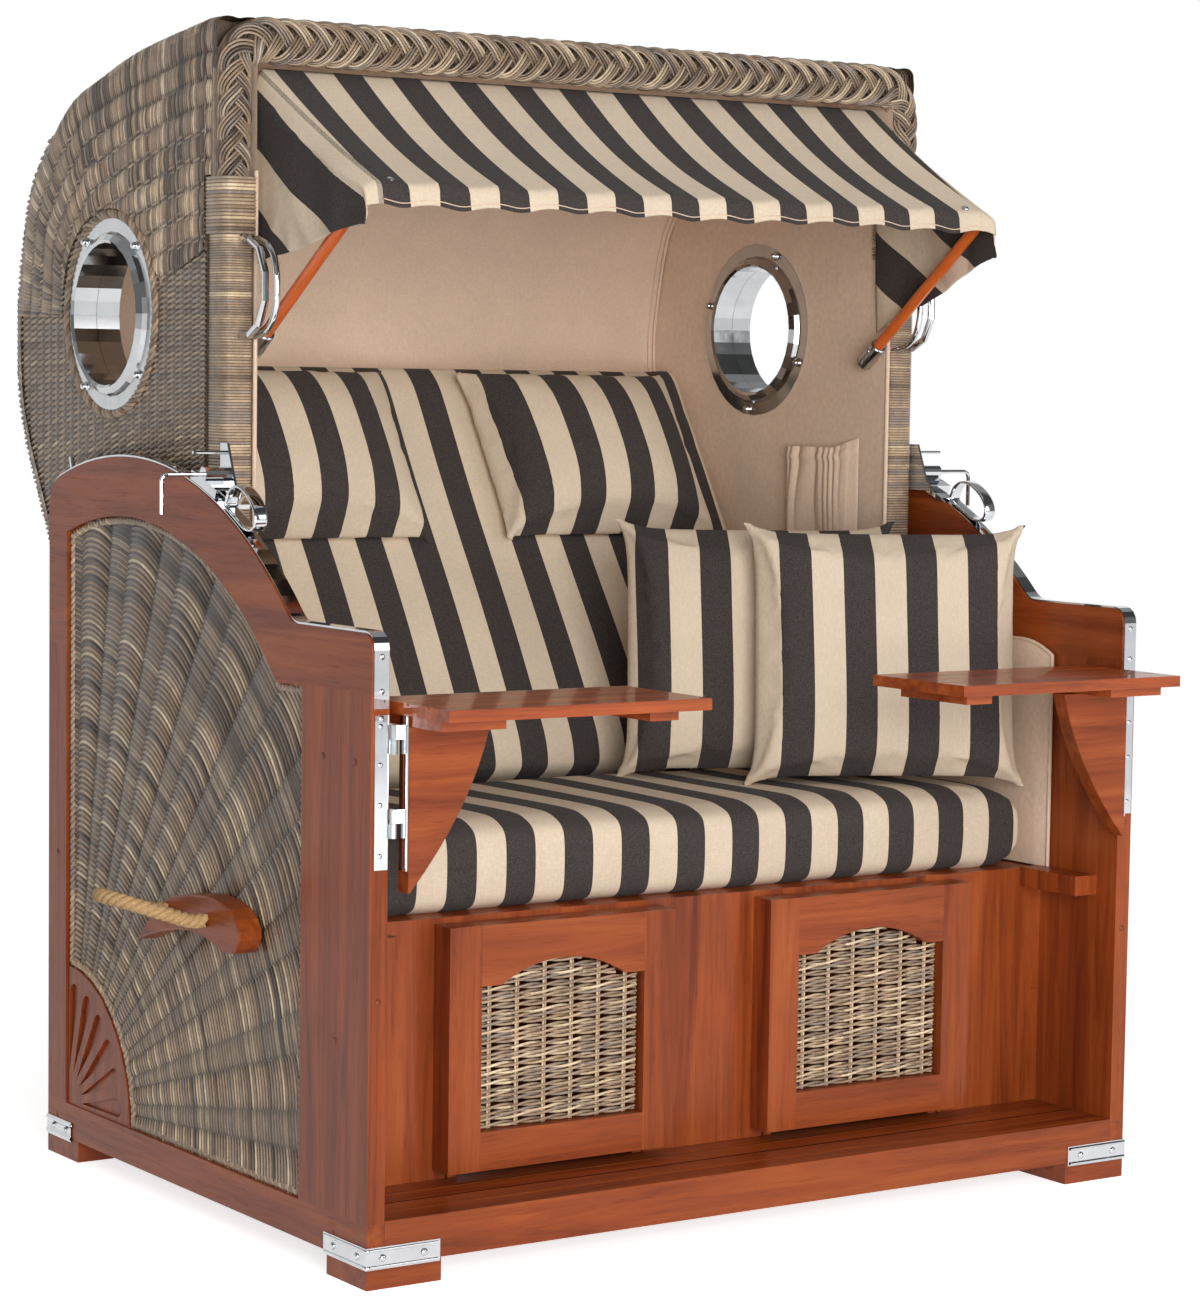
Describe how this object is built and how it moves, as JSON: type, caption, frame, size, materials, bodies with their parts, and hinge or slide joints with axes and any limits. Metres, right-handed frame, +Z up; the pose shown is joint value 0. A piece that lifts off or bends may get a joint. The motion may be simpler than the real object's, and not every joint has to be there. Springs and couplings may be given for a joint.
{
  "type": "hooded beach chair",
  "caption": "Two-seat hooded beach chair: wooden base with wicker sides and pull-out footrests, reclining wicker hood with portholes and awning, folding tables.",
  "frame": {"origin": "middle of the overall box in plan, on the ground that the feet stand on", "axes": "+Z up, -Y the front where people sit down, +X the right hand of someone who faces the chair"},
  "size_m": [1.5662, 1.2491, 1.606],
  "materials": {
    "mahogany": "varnished satin gloss, red-brown",
    "wicker": "woven round synthetic cane, mottled brown, grey and beige",
    "chrome": "polished",
    "steel": "bright turned stainless steel",
    "stripe": "woven block stripe, black and beige",
    "lining": "plain beige cloth",
    "rope": "three-strand natural rope",
    "pole": "varnished orange-brown"
  },
  "bodies": {
    "base": {"side_frame_left": "mahogany", "side_frame_right": "mahogany", "side_wicker_left": "wicker", "side_wicker_right": "wicker", "arm_rail_left": "chrome", "arm_rail_right": "chrome", "corner_strap_left": "chrome", "corner_strap_right": "chrome", "foot_front_left": "mahogany", "foot_front_right": "mahogany", "foot_rear_left": "mahogany", "foot_rear_right": "mahogany", "floor_board": "mahogany", "rear_wall": "mahogany", "box_front": "mahogany", "seat_board": "mahogany", "side_liner_left": "lining", "side_liner_right": "lining", "pivot_bolt_left": "steel", "pivot_bolt_right": "steel", "handle_block_left": "mahogany", "handle_block_right": "mahogany", "rope_loop_left": "rope", "rope_loop_right": "rope", "hinge_fixed_left": "chrome", "hinge_fixed_right": "chrome", "seat_cushion": "stripe", "throw_pillow_front": "stripe", "throw_pillow_rear": "stripe"},
    "hood": {"hood_shell": "wicker", "hood_frame": "wicker", "port_outer_left": "steel", "port_outer_right": "steel", "port_inner_left": "steel", "port_inner_right": "steel", "back_cushion": "stripe", "head_cushion_left": "stripe", "head_cushion_right": "stripe", "lock_slider_left": "chrome", "lock_slider_right": "chrome", "grab_handle_left": "chrome", "grab_handle_right": "chrome", "awning_cloth": "stripe"},
    "awning": {"awning_bow": "pole"},
    "footrest_left": {"door_frame_left": "mahogany", "door_wicker_left": "wicker", "footrest_tray_left": "mahogany"},
    "footrest_right": {"door_frame_right": "mahogany", "door_wicker_right": "wicker", "footrest_tray_right": "mahogany"},
    "table_left": {"table_top_left": "mahogany", "table_bracket_left": "mahogany", "hinge_moving_left": "chrome"},
    "table_right": {"table_top_right": "mahogany", "table_bracket_right": "mahogany", "hinge_moving_right": "chrome"},
    "lever_left": {"lock_lever_left": "chrome"},
    "lever_right": {"lock_lever_right": "chrome"},
    "loop_left": {"lock_loop_left": "chrome"},
    "loop_right": {"lock_loop_right": "chrome"}
  },
  "joints": [
    {"name": "hood_recline", "type": "hinge", "parent": "base", "child": "hood", "pos_m": [0, 0.187, 0.34], "axis": [-1, 0, 0], "range_deg": [0, 32]},
    {"name": "awning_swing", "type": "hinge", "parent": "hood", "child": "awning", "pos_m": [0, -0.001, 1.167], "axis": [-1, 0, 0], "range_deg": [0, 94], "deforming": ["awning_cloth"]},
    {"name": "footrest_left_slide", "type": "slide", "parent": "base", "child": "footrest_left", "axis": [0, -1, 0], "range_m": [0, 0.36]},
    {"name": "footrest_right_slide", "type": "slide", "parent": "base", "child": "footrest_right", "axis": [0, -1, 0], "range_m": [0, 0.36]},
    {"name": "table_left_swing", "type": "hinge", "parent": "base", "child": "table_left", "pos_m": [-0.597, -0.501, 0.62], "axis": [0, 0, -1], "range_deg": [0, 90]},
    {"name": "table_right_swing", "type": "hinge", "parent": "base", "child": "table_right", "pos_m": [0.597, -0.501, 0.62], "axis": [0, 0, 1], "range_deg": [0, 90]},
    {"name": "lever_left_turn", "type": "hinge", "parent": "hood", "child": "lever_left", "pos_m": [-0.625, -0.0456, 0.9968], "axis": [-1, 0, 0], "range_deg": [0, 90]},
    {"name": "lever_right_turn", "type": "hinge", "parent": "hood", "child": "lever_right", "pos_m": [0.625, -0.0456, 0.9968], "axis": [-1, 0, 0], "range_deg": [0, 90]},
    {"name": "loop_left_lift", "type": "hinge", "parent": "hood", "child": "loop_left", "pos_m": [-0.6125, -0.0984, 0.9576], "axis": [-1, 0, 0], "range_deg": [0, 60]},
    {"name": "loop_right_lift", "type": "hinge", "parent": "hood", "child": "loop_right", "pos_m": [0.6125, -0.0984, 0.9576], "axis": [-1, 0, 0], "range_deg": [0, 60]}
  ]
}
